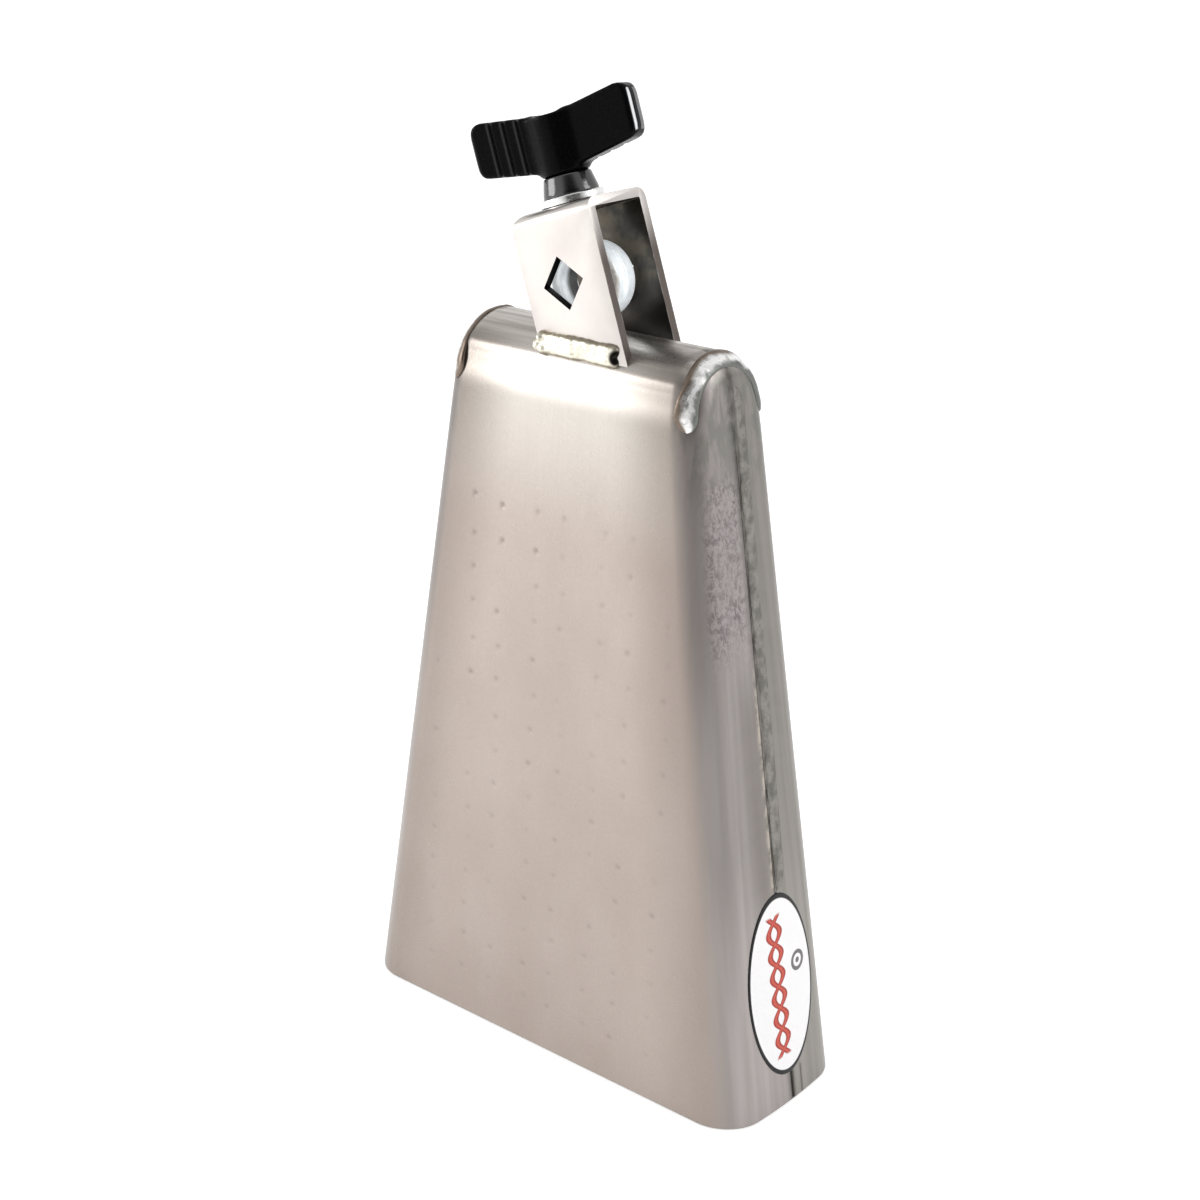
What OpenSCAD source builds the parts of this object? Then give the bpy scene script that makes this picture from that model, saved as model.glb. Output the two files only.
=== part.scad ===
// Hand cowbell of folded sheet steel, with a leaning bracket that clamps it on a rod.
// Origin: centre of the open mouth, on the plane that the rim lies in. +X runs along the
// mouth's width, +Y to the rear, +Z up to the fold. Millimetres.

/* [Bell] */
// Height from the mouth's rim to the top of the fold
bell_h = 202.5; // [190:0.5:220]
// Width of the mouth, without the bulge of its narrow sides
mouth_w = 136; // [124:1:150]
// Depth of the mouth, front face to rear face
mouth_d = 50.9; // [46:0.1:58]
// Width of the fold at the top
crown_w = 80.7; // [76:0.1:96]
// Outer radius of the fold
crown_r = 14.8; // [14:0.1:16]
// Thickness of the sheet
sheet_t = 1.9; // [1.2:0.1:2.5]
// Radius of the upright corners at the mouth
mouth_corner_r = 11.2; // [8:0.1:14]
// Radius that rounds the front of the fold's ends and the corners under them
front_end_r = 8; // [6:0.1:9]
// Radius that rounds the rear of the fold's ends and the corners under them
rear_end_r = 5.2; // [4:0.1:8]
// How far the narrow sides bulge at the mouth
side_bow = 1.8; // [0.5:0.1:3]

/* [Welds] */
// Width of the bead along each side seam
seam_bead_w = 4.4; // [3:0.1:6]
// Height of the seam beads above the sheet
seam_bead_h = 0.6; // [0.3:0.1:1]
// Height of the weld arch at each end of the fold, above the sheet
crown_bead_h = 0.6; // [0.3:0.1:1]
// Length of the fillet welds along the bracket's feet
foot_bead_l = 27; // [20:0.5:28]

/* [Bracket] */
// Lean of the bracket and its bolt towards -X, in degrees
tilt = 19; // [12:1:21]
// Height of the rod's axis above the top of the fold
rod_rise = 12.9; // [12.5:0.1:14]
// Place of the rod's axis along the bell's width
rod_x = -3.2; // [-6:0.1:2]
// Depth of the bracket over both walls
bracket_d = 22.3; // [20:0.1:24]
// Width of the bracket's walls
bracket_w = 27.4; // [25:0.1:30]
// Thickness of the bracket's metal
bracket_t = 2.5; // [2:0.1:3]
// Distance from the rod's axis to the bracket's top face
bracket_rise = 19; // [18.5:0.1:22]
// Side of the square rod holes, for a 9.5 mm rod
rod_hole = 9.8; // [9.6:0.1:11]

/* [Eye bolt and wing nut] */
// Outer radius of the eye
eye_r = 10.1; // [9.8:0.1:10.3]
// Radius of the hole through the eye
eye_hole_r = 7.2; // [7:0.1:7.4]
// Thickness of the eye along the rod
eye_t = 9.8; // [6:0.1:12]
// How far the eye hangs below the rod holes' middle when loose
eye_drop = 1.1; // [0.8:0.1:1.2]
// Turn of the loose eye about the bolt, in degrees
eye_turn = 10; // [0:1:12]
// Radius of the bolt's shank, over its thread
bolt_r = 3.95; // [3.5:0.05:4.1]
// Radius of the washer
washer_r = 8.4; // [7.5:0.1:10]
// Thickness of the washer
washer_t = 2.2; // [1.5:0.1:3]
// Span over both wings
wing_span = 47.5; // [36:0.5:56]
// Thickness of the wings
wing_t = 7.1; // [6:0.1:9]
// Turn of the wings about the bolt, from the bell's width towards its rear, in degrees
wing_turn = 15; // [0:1:180]

/* [Label] */
// Height of the oval label
label_h = 51.5; // [30:0.5:56]
// Width of the oval label
label_w = 27.8; // [18:0.1:30]
// Height of the label's centre above the rim
label_z = 34.2; // [30:0.1:60]

/* [Hidden] */
round_fn = 96;

// Bell: its flat faces lean in towards the fold and are tangent to it
fold_z = bell_h - crown_r;
face_lean = acos(crown_r / norm([mouth_d / 2, fold_z])) - atan2(fold_z, mouth_d / 2);
side_lean = atan2((mouth_w - crown_w) / 2, bell_h);
corner_steps = 7;
// Half depth of the flat left at the very top of the fold
top_d = 1.2;
// Air left under each piece that lies on the bell, so that no two solids share a face
skin_gap = 0.01;
// Angles along the fold, from its flank to its top
fold_angles = [face_lean, 10, 19, 28, 37, 46, 55, 64, 73, 82, 90];

// Welds
seam_y = 3;
seam_lean = atan2((mouth_w - crown_w) / 2 + side_bow, bell_h);
seam_r = (pow(seam_bead_w / 2, 2) + pow(seam_bead_h, 2)) / (2 * seam_bead_h);
// Under the label the seam is ground flush
seam_low = label_z + label_h / 2 + 2;
seam_high = bell_h - 7;
// Weld arch: width over the fold's end, inner radius, and lowest point of its two feet
arch_w = 6.3;
arch_inner_r = 11.3;
arch_low = fold_z - 2.6;
foot_upper_r = 1.5;
foot_lower_r = 1.6;
foot_angle = 47;

// Bracket's own frame: origin on the rod's axis, +Z along the bolt
rod_z = bell_h + rod_rise;
wall_y = bracket_d / 2;
bend_r = 3;
plate_corner_r = 4;
bracket_shift = 0.6;
bolt_hole_r = bolt_r + 0.35;

// Wing nut, along the bolt
nut_z = bracket_rise + washer_t;
thread_clearance = 0.05;
boss_r = 7.3;
neck_r = 6.1;
core_r = 4.9;
grip_z = nut_z + 5.5;
grip_h = 15;
core_top = grip_z + grip_h - 2;
hub_r = 6.2;
bolt_end = nut_z + 15;
wing_end_z = grip_z + 3.6;
wing_end_h = 14.2;
wing_low_r = 3.8;
wing_high_r = 3.8;
wing_end_r = 2.8;

label_t = 0.2;

// Points along an arc about c, from one angle to another
function arc(c, r, from, to, steps = 8) =
    [for (i = [0 : steps])
        let (a = from + (to - from) * i / steps) c + r * [cos(a), sin(a)]];

// Level section of the bell at height z, with everything drawn in by inset: depth of the
// section, and the radius that rounds it, which runs from front to rear over the fold
function half_width(z) = mouth_w / 2 - z * tan(side_lean);
function is_mouth(z) = z <= 0;
function fold_depth(z, inset) =
    let (r = crown_r - inset, h = z - fold_z) sqrt(max(pow(r, 2) - pow(h, 2), top_d * top_d));
function half_depth(z, inset) =
    is_mouth(z) ? mouth_d / 2 - z * tan(face_lean) - inset : fold_depth(z, inset);
function reach(y, z) = is_mouth(z) ? abs(y) : norm([y, z - fold_z]);
function round_r(y, z, inset) =
    is_mouth(z) ? mouth_corner_r - inset
    : (front_end_r + rear_end_r - (front_end_r - rear_end_r) * y / reach(y, z)) / 2 - inset;
function edge_r(z, inset) = is_mouth(z) ? half_depth(z, inset) : crown_r - inset;

// Half width of the section at depth y
function edge_x(y, z, inset) =
    let (r = round_r(y, z, inset),
         past = min(r, max(0, reach(y, z) - edge_r(z, inset) + r)),
         bow = is_mouth(z) ? side_bow * (1 - pow(y / half_depth(z, inset), 2)) : 0)
    half_width(z) - inset - r + sqrt(pow(r, 2) - pow(past, 2)) + bow;

// Depths at which a section has its points, on the front (side -1) or the rear (side 1):
// even steps of angle round the corner, and never closer together than even steps of depth
function depths(z, inset, side) =
    let (d = half_depth(z, inset),
         r = round_r(side * d, z, inset),
         inner = edge_r(z, inset) - r,
         h = is_mouth(z) ? 0 : z - fold_z,
         start = asin(min(1, max(0, (h - inner) / r))),
         ys = [for (k = [0 : corner_steps])
                  let (q = inner + r * sin(start + (90 - start) * k / corner_steps))
                  max(d * (k + 1) / (corner_steps + 1), sqrt(max(0, q * q - h * h)))])
    concat([ys[0] / 2], ys);

function reversed(list) = [for (i = [len(list) - 1 : -1 : 0]) list[i]];

function section(z, inset) =
    let (ys = concat(-reversed(depths(z, inset, -1)), [0], depths(z, inset, 1)))
    concat([for (y = ys) [edge_x(y, z, inset), y, z]],
           [for (y = reversed(ys)) [-edge_x(y, z, inset), y, z]]);

// The bell as a solid form, drawn in by inset
module bell_form(inset, below = 0) {
    r = crown_r - inset;
    heights = concat(below > 0 ? [-below] : [], [0],
                     [for (a = fold_angles) fold_z + r * sin(a)]);
    rings = [for (z = heights) section(z, inset)];
    n = len(rings[0]);
    top = len(heights) - 1;
    polyhedron([for (ring = rings) each ring],
               concat([[for (j = [0 : n - 1]) j]],
                      [for (i = [0 : top - 1], j = [0 : n - 1])
                          let (k = (j + 1) % n) [i * n + j, (i + 1) * n + j, (i + 1) * n + k]],
                      [for (i = [0 : top - 1], j = [0 : n - 1])
                          let (k = (j + 1) % n) [i * n + j, (i + 1) * n + k, i * n + k]],
                      [[for (j = [n - 1 : -1 : 0]) top * n + j]]));
}

module bell_shell() {
    color([0.72, 0.67, 0.62])
        difference() {
            bell_form(0);
            bell_form(sheet_t, below = 1);
        }
}

// Low round-topped bead over the seam in the middle of a narrow side
module seam_weld() {
    color([0.58, 0.56, 0.52])
        difference() {
            translate([mouth_w / 2 + side_bow, seam_y, 0])
                rotate([0, -seam_lean, 0])
                    translate([seam_bead_h - seam_r, 0, seam_low / cos(seam_lean)])
                        cylinder(r = seam_r, h = (seam_high - seam_low) / cos(seam_lean),
                                 $fn = round_fn);
            bell_form(-skin_gap);
        }
}

// Arch of weld around the end of the fold, with a rounded ear at each foot
module crown_weld() {
    color([0.78, 0.76, 0.72])
        difference() {
            bell_form(-crown_bead_h);
            bell_form(-skin_gap);
            translate([half_width(fold_z), 0, fold_z])
                rotate([0, -side_lean, 0]) {
                    rotate([90, 0, 0])
                        linear_extrude(2 * mouth_d, center = true)
                            difference() {
                                translate([-2 * mouth_w, -2 * bell_h])
                                    square([3 * mouth_w, 3 * bell_h]);
                                arch_outline();
                            }
                    rotate([90, 0, 90])
                        linear_extrude(2 * arch_w, center = true) {
                            circle(arch_inner_r, $fn = round_fn);
                            translate([-arch_inner_r, -arch_w])
                                square([2 * arch_inner_r, arch_w]);
                        }
                }
        }
}

// The weld arch from the front: its foot is rounded
module arch_outline() {
    foot_z = arch_low - fold_z + arch_w;
    translate([0, foot_z])
        circle(arch_w, $fn = round_fn);
    translate([-arch_w, foot_z])
        square([2 * arch_w, 3 * crown_r]);
}

module left_seam_weld() {
    mirror([1, 0, 0])
        seam_weld();
}

module right_seam_weld() {
    seam_weld();
}

module left_crown_weld() {
    mirror([1, 0, 0])
        crown_weld();
}

module right_crown_weld() {
    crown_weld();
}

// Places what belongs to the bracket and the bolt
module at_rod() {
    translate([rod_x, 0, rod_z])
        rotate([0, -tilt, 0])
            children();
}

// Channel's outline across its walls, drawn in by inset
module channel_profile(inset) {
    y = wall_y - inset;
    top = bracket_rise - inset;
    r = bend_r - inset;
    for (side = [-1, 1])
        translate([side * (y - r), top - r])
            circle(r, $fn = round_fn);
    translate([r - y, top - 2 * r])
        square([2 * (y - r), 2 * r]);
    translate([-y, -2 * bracket_rise])
        square([2 * y, 2 * bracket_rise + top - r]);
}

// Outline of the walls seen along the rod, with the upper left corner rounded
module wall_outline() {
    left = bracket_shift - bracket_w / 2;
    translate([left, -2 * bracket_rise])
        square([bracket_w, 3 * bracket_rise - plate_corner_r]);
    translate([left + plate_corner_r, 0])
        square([bracket_w - plate_corner_r, bracket_rise]);
    translate([left + plate_corner_r, bracket_rise - plate_corner_r])
        circle(plate_corner_r, $fn = round_fn);
}

module mount_bracket() {
    color([0.85, 0.84, 0.82])
        difference() {
            at_rod()
                difference() {
                    intersection() {
                        rotate([90, 0, 90])
                            linear_extrude(2 * bracket_w, center = true)
                                difference() {
                                    channel_profile(0);
                                    channel_profile(bracket_t);
                                }
                        rotate([90, 0, 0])
                            linear_extrude(2 * bracket_d, center = true)
                                wall_outline();
                    }
                    rotate([90, 0, 0])
                        rotate([0, 0, 45])
                            cube([rod_hole, rod_hole, 2 * bracket_d], center = true);
                    cylinder(r = bolt_hole_r, h = 2 * bracket_rise, $fn = round_fn);
                }
            bell_form(-skin_gap);
            translate([0, 0, fold_z])
                cube([mouth_w, mouth_w, crown_r], center = true);
        }
}

// Fillet between one wall of the bracket and the fold
module foot_weld() {
    x = rod_x + tan(tilt) * (rod_z - bell_h) + bracket_shift;
    reach_x = foot_bead_l / 2 - foot_lower_r;
    color([0.8, 0.79, 0.74])
        difference() {
            hull()
                for (end = [-1, 1]) {
                    translate([x + end * reach_x, -wall_y, bell_h - foot_upper_r])
                        sphere(foot_upper_r, $fn = 32);
                    translate([x + end * reach_x, -crown_r * sin(foot_angle),
                               fold_z + crown_r * cos(foot_angle)])
                        sphere(foot_lower_r, $fn = 32);
                }
            bell_form(-skin_gap);
            translate([0, 0, rod_z])
                cube([mouth_w, bracket_d, 4 * bracket_rise], center = true);
        }
}

module front_foot_weld() {
    foot_weld();
}

module rear_foot_weld() {
    mirror([0, 1, 0])
        foot_weld();
}

// Forged eye around the rod, on a shank that goes up through the bracket
module eye_bolt() {
    round_r = 1.6;
    neck_low = eye_hole_r - eye_drop + 1.4;
    color([0.78, 0.82, 0.86])
        at_rod() {
            translate([0, 0, -eye_drop])
                rotate([0, 0, eye_turn])
                    rotate([90, 0, 0])
                        rotate_extrude($fn = round_fn) {
                            for (z = [-1, 1])
                                translate([eye_r - round_r, z * (eye_t / 2 - round_r)])
                                    circle(round_r, $fn = round_fn);
                            translate([eye_hole_r, -eye_t / 2])
                                square([eye_r - eye_hole_r - round_r, eye_t]);
                            translate([eye_hole_r, round_r - eye_t / 2])
                                square([eye_r - eye_hole_r, eye_t - 2 * round_r]);
                        }
            translate([0, 0, neck_low])
                cylinder(r = bolt_r, h = bolt_end - neck_low, $fn = round_fn);
        }
}

module washer() {
    color([0.82, 0.84, 0.86])
        at_rod()
            translate([0, 0, bracket_rise])
                difference() {
                    cylinder(r = washer_r, h = washer_t, $fn = round_fn);
                    translate([0, 0, -1])
                        cylinder(r = bolt_hole_r, h = washer_t + 2, $fn = round_fn);
                }
}

// Threaded metal boss, flared where it bears on the washer
module wing_nut_insert() {
    bore_r = bolt_r + thread_clearance;
    color([0.12, 0.12, 0.13])
        at_rod()
            rotate_extrude($fn = round_fn)
                polygon([[bore_r, nut_z], [boss_r, nut_z], [boss_r, nut_z + 1], [neck_r, grip_z],
                         [core_r, grip_z], [core_r, core_top], [bore_r, core_top]]);
}

// Outline of one wing from the side: root at the bolt, rounded outer corners
module wing_outline() {
    end = wing_span / 2;
    polygon(concat([[0, grip_z + grip_h], [0, grip_z]],
                   arc([end - wing_low_r, wing_end_z + wing_low_r], wing_low_r, -81, 0),
                   arc([end - wing_high_r, wing_end_z + wing_end_h - wing_high_r],
                       wing_high_r, 0, 95)));
}

// One wing from above: its outer end is rounded
module wing_plan() {
    end = wing_span / 2;
    translate([0, -wing_t / 2])
        square([end - wing_end_r, wing_t]);
    translate([0, wing_end_r - wing_t / 2])
        square([end, wing_t - 2 * wing_end_r]);
    for (side = [-1, 1])
        translate([end - wing_end_r, side * (wing_t / 2 - wing_end_r)])
            circle(wing_end_r, $fn = round_fn);
}

module wing_nut_grip() {
    color([0.04, 0.04, 0.045])
        at_rod()
            rotate([0, 0, wing_turn])
                difference() {
                    union() {
                        translate([0, 0, grip_z])
                            cylinder(r = hub_r, h = grip_h, $fn = round_fn);
                        for (turn = [0, 180])
                            rotate([0, 0, turn])
                                intersection() {
                                    rotate([90, 0, 0])
                                        linear_extrude(wing_t, center = true)
                                            wing_outline();
                                    linear_extrude(3 * bracket_rise)
                                        wing_plan();
                                }
                    }
                    translate([0, 0, grip_z - 1])
                        cylinder(r = core_r, h = core_top - grip_z + 1, $fn = round_fn);
                    cylinder(r = bolt_hole_r, h = 3 * bracket_rise, $fn = round_fn);
                }
}

// Thin oval film on the right narrow side
module label() {
    color([0.93, 0.93, 0.92])
        difference() {
            intersection() {
                bell_form(-label_t);
                translate([0, 0, label_z])
                    rotate([90, 0, 90])
                        linear_extrude(mouth_w)
                            polygon([for (i = [0 : 71])
                                [label_w / 2 * cos(5 * i), label_h / 2 * sin(5 * i)]]);
            }
            bell_form(-skin_gap, below = 1);
        }
}

bell_shell();
left_seam_weld();
right_seam_weld();
left_crown_weld();
right_crown_weld();
mount_bracket();
front_foot_weld();
rear_foot_weld();
eye_bolt();
washer();
wing_nut_insert();
wing_nut_grip();
label();
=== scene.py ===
"""Looks of a drummer's cowbell: dented sheet steel with weld beads, a plated bracket with an
eye bolt, and a black wing nut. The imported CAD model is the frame. Shapes are worked out in
millimetres, with the origin at the middle of the mouth, and made in metres."""

import math

import bmesh
import bpy
import numpy as np
from mathutils import Matrix, Vector


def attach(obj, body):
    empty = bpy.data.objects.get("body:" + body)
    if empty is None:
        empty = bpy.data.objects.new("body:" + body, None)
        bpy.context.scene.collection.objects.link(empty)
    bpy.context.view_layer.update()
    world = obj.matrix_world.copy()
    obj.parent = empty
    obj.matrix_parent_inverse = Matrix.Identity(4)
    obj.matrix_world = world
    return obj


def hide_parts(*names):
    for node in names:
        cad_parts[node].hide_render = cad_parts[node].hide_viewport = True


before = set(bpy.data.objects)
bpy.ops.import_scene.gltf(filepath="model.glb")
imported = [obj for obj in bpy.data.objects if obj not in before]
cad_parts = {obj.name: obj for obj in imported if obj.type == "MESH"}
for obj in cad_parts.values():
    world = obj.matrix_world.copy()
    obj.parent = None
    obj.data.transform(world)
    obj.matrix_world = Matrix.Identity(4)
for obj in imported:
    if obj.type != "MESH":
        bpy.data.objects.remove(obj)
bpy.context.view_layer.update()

MM = 0.001

# The bell's form, as in the CAD
BELL_H = 202.5
MOUTH_W = 136
MOUTH_D = 50.9
CROWN_W = 80.7
CROWN_R = 14.8
SHEET_T = 1.9
MOUTH_CORNER_R = 11.2
FRONT_END_R = 8
REAR_END_R = 5.2
SIDE_BOW = 1.8
FOLD_Z = BELL_H - CROWN_R
FACE_LEAN = math.acos(CROWN_R / math.hypot(MOUTH_D / 2, FOLD_Z)) - math.atan2(FOLD_Z, MOUTH_D / 2)
SIDE_SLOPE = (MOUTH_W - CROWN_W) / 2 / BELL_H
TANGENT_Z = FOLD_Z + CROWN_R * math.sin(FACE_LEAN)

# The clamp's frame: its origin is the middle of the rod holes, and its z runs up the bolt
TILT = math.radians(19)
ROD = (-3.2, 0, 215.4)
BRACKET_SHIFT = 0.6
NUT_Z = 21.2
GRIP_Z = NUT_Z + 5.5
GRIP_TOP = GRIP_Z + 15
BOLT_R = 3.95
BOLT_END = NUT_Z + 15

clamp_frame = Matrix.Translation(Vector(ROD)) @ Matrix.Rotation(-TILT, 4, "Y")
rng = np.random.default_rng(7)


# ---------------------------------------------------------------- the bell's surface


def half_depth(z):
    """Half depth of the bell at height z."""
    wall = MOUTH_D / 2 - z * math.tan(FACE_LEAN)
    fold = np.sqrt(np.maximum(CROWN_R**2 - np.maximum(z - FOLD_Z, 0) ** 2, 0))
    return np.where(z < TANGENT_Z, wall, fold)


def sheet_depth(z):
    """Half depth with the bend eased into the flat faces, as sheet metal springs back."""
    spread = np.linspace(-9, 9, 19)
    eased = float(np.mean(half_depth(z + spread)))
    share = smoothstep(FOLD_Z + 9, FOLD_Z + 2, z)
    return float(half_depth(np.array(z))) * (1 - share) + eased * share


def end_x(y, z, inset=0.0):
    """Half width of the bell at depth y and height z."""
    up = np.clip(z / TANGENT_Z, 0, 1)
    reach = np.hypot(y, np.maximum(z - FOLD_Z, 0))
    share = y / np.maximum(reach, 1e-6)
    end_r = (FRONT_END_R + REAR_END_R - (FRONT_END_R - REAR_END_R) * share) / 2
    corner = MOUTH_CORNER_R + (end_r - MOUTH_CORNER_R) * up - inset
    edge = np.where(z < TANGENT_Z, half_depth(z), CROWN_R) - inset
    past = np.clip(reach - edge + corner, 0, corner)
    depth = np.maximum(half_depth(z) - inset, 1e-3)
    bow = SIDE_BOW * (1 - up) * (1 - np.minimum(np.abs(y) / depth, 1) ** 2)
    return MOUTH_W / 2 - z * SIDE_SLOPE - inset - corner + np.sqrt(corner**2 - past**2) + bow


# ---------------------------------------------------------------- mesh helpers


def smoothstep(low, high, value):
    t = np.clip((value - low) / (high - low), 0, 1)
    return t * t * (3 - 2 * t)


def peak(value, middle, width):
    """1 at the middle, falling off on both sides of it."""
    return np.exp(-(((value - middle) / width) ** 2))


def mesh_object(name, points, faces, attributes=None, smooth=True):
    """Object from points in millimetres, with a float attribute per point for each entry."""
    mesh = bpy.data.meshes.new(name)
    mesh.from_pydata((np.asarray(points) * MM).tolist(), [], [list(map(int, f)) for f in faces])
    for key, values in (attributes or {}).items():
        mark(mesh, key, values)
    mesh.polygons.foreach_set("use_smooth", np.full(len(mesh.polygons), smooth))
    mesh.update()
    piece = bpy.data.objects.new(name, mesh)
    bpy.context.scene.collection.objects.link(piece)
    return piece


def points_of(piece):
    """The piece's points in millimetres."""
    points = np.empty(len(piece.data.vertices) * 3)
    piece.data.vertices.foreach_get("co", points)
    return points.reshape(-1, 3) / MM


def mark(mesh, key, values):
    """Stores one float per point, for a material to read."""
    layer = mesh.attributes.new(key, "FLOAT", "POINT")
    layer.data.foreach_set("value", np.asarray(values, np.float32))


def outward(piece):
    """Turns every face outwards."""
    bm = bmesh.new()
    bm.from_mesh(piece.data)
    bmesh.ops.recalc_face_normals(bm, faces=bm.faces)
    bm.to_mesh(piece.data)
    bm.free()
    return piece


def tube_faces(rings, columns):
    """Quads between consecutive closed rings, with a cap on the first and the last."""
    i, j = np.meshgrid(np.arange(rings - 1), np.arange(columns), indexing="ij")
    a = (i * columns + j).ravel()
    b = (i * columns + (j + 1) % columns).ravel()
    quads = np.stack([a, b, b + columns, a + columns], 1).tolist()
    last = (rings - 1) * columns
    return quads + [list(range(columns))[::-1], list(range(last, last + columns))]


def noise3(points, size, seed=0):
    """Smooth noise in -1..1, one value per point, with lumps of about the given size in mm."""
    table = np.random.default_rng(1000 + seed).uniform(-1, 1, (32, 32, 32))
    p = np.asarray(points, float) / size + 50
    cell = np.floor(p).astype(int)
    t = p - cell
    t = t * t * (3 - 2 * t)
    total = 0
    for dx in (0, 1):
        for dy in (0, 1):
            for dz in (0, 1):
                weight = (
                    (t[:, 0] if dx else 1 - t[:, 0])
                    * (t[:, 1] if dy else 1 - t[:, 1])
                    * (t[:, 2] if dz else 1 - t[:, 2])
                )
                c = (cell + (dx, dy, dz)) % 32
                total = total + weight * table[c[:, 0], c[:, 1], c[:, 2]]
    return total


def surface_nets(name, field, low, high, step, place=None):
    """Mesh of the surface where field(x, y, z) is zero; field is negative inside, in mm.
    The net's points are pulled onto the surface, then moved by the matrix place."""
    low = np.array(low, float)
    axes = [np.arange(a, b + step, step) for a, b in zip(low, high)]
    inside = field(*np.meshgrid(*axes, indexing="ij")) < 0
    shape = np.array(inside.shape)
    count = np.zeros(shape - 1, int)
    for dx in (0, 1):
        for dy in (0, 1):
            for dz in (0, 1):
                count += inside[
                    dx : shape[0] - 1 + dx, dy : shape[1] - 1 + dy, dz : shape[2] - 1 + dz
                ]
    mixed = (count > 0) & (count < 8)
    index = np.full(mixed.shape, -1)
    index[mixed] = np.arange(mixed.sum())
    points = low + (np.argwhere(mixed) + 0.5) * step

    start, nudge = points.copy(), step * 0.05
    for _ in range(8):
        value = field(*points.T)
        slope = np.stack(
            [
                (field(*(points + nudge * e).T) - field(*(points - nudge * e).T)) / (2 * nudge)
                for e in np.eye(3)
            ],
            1,
        )
        move = value[:, None] * slope / np.maximum((slope**2).sum(1, keepdims=True), 0.05)
        points = np.clip(points - move, start - 0.75 * step, start + 0.75 * step)

    quads = []
    for axis in range(3):
        u, w = (axis + 1) % 3, (axis + 2) % 3
        a = inside.take(np.arange(shape[axis] - 1), axis)
        b = inside.take(np.arange(1, shape[axis]), axis)
        cells = np.argwhere(a != b)
        ring = []
        for du, dw in ((-1, -1), (0, -1), (0, 0), (-1, 0)):
            c = cells.copy()
            c[:, u] += du
            c[:, w] += dw
            ring.append(index[c[:, 0], c[:, 1], c[:, 2]])
        ring = np.stack(ring, 1)
        leaving = a[cells[:, 0], cells[:, 1], cells[:, 2]]
        ring[~leaving] = ring[~leaving][:, ::-1]
        quads.append(ring)
    piece = mesh_object(name, points, np.concatenate(quads))
    if place is not None:
        move_by(piece, place)
    return piece


def move_by(piece, matrix):
    """Moves the piece's points by a matrix in millimetres."""
    scale = Matrix.Scale(MM, 4)
    piece.data.transform(scale @ matrix @ scale.inverted())


def smooth_min(a, b, k):
    """Union of two fields, with a fillet of about k mm between them."""
    h = np.clip(0.5 + 0.5 * (b - a) / k, 0, 1)
    return b + (a - b) * h - k * h * (1 - h)


def smooth_max(a, b, k):
    return -smooth_min(-a, -b, k)


def rounded_block(dx, dy, edge_r):
    """Distance for a shape given by two distances, with an edge radius where they meet."""
    outside = np.hypot(np.maximum(dx + edge_r, 0), np.maximum(dy + edge_r, 0))
    return np.minimum(np.maximum(dx, dy) + edge_r, 0) + outside - edge_r


def polygon_distance(x, y, corners):
    """Distance to a convex polygon whose corners run anticlockwise."""
    best = np.full(np.broadcast(x, y).shape, 1e9)
    inside = np.full(best.shape, -1e9)
    for (ax, ay), (bx, by) in zip(corners, corners[1:] + corners[:1]):
        ex, ey = bx - ax, by - ay
        length = math.hypot(ex, ey)
        t = np.clip(((x - ax) * ex + (y - ay) * ey) / length**2, 0, 1)
        best = np.minimum(best, np.hypot(x - ax - ex * t, y - ay - ey * t))
        inside = np.maximum(inside, ((x - ax) * ey - (y - ay) * ex) / length)
    return np.where(inside < 0, np.maximum(inside, -best), best)


def dress(piece, body, slot, *nodes):
    """The piece rides on a body, and stands for some CAD nodes. The slot is not used."""
    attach(piece, body)
    if nodes:
        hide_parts(*nodes)
    return piece


# ---------------------------------------------------------------- the bell

FRONT_COLUMNS = 210
REAR_COLUMNS = 80
DENT_PITCH_X = 11.3
DENT_PITCH_Z = 10.1
SEAM_Y = 1.0
SEAM_STRIP_Y = 5.2


def end_columns(depth):
    """Depths of the points on a narrow side: even near the seam, finer towards the corners."""
    middle = min(7, depth / 2)
    seam = np.concatenate([np.linspace(-1, 0, 6)[:-1], np.linspace(0, 1, 25)]) * middle
    turn = np.linspace(0, 1, 31)[1:]
    flank = middle + (depth - middle) * np.sin(turn * math.pi / 2)
    return np.concatenate([-flank[::-1], seam, flank])


def bell_ring(z, inset, depth, full):
    """Closed ring of points round the bell: right side, rear, left side, front. The section
    of half depth full is drawn in to depth."""
    y = end_columns(depth)
    x = end_x(y * full / depth, np.full_like(y, z), inset)
    right = np.stack([x, y, np.full_like(y, z)], 1)
    left = right[::-1] * (-1, 1, 1)
    rear = np.linspace(x[-1], -x[-1], REAR_COLUMNS + 2)[1:-1]
    front = np.linspace(-x[0], x[0], FRONT_COLUMNS + 2)[1:-1]
    return np.concatenate(
        [
            right,
            np.stack([rear, np.full_like(rear, depth), np.full_like(rear, z)], 1),
            left,
            np.stack([front, np.full_like(front, -depth), np.full_like(front, z)], 1),
        ]
    )


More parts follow.
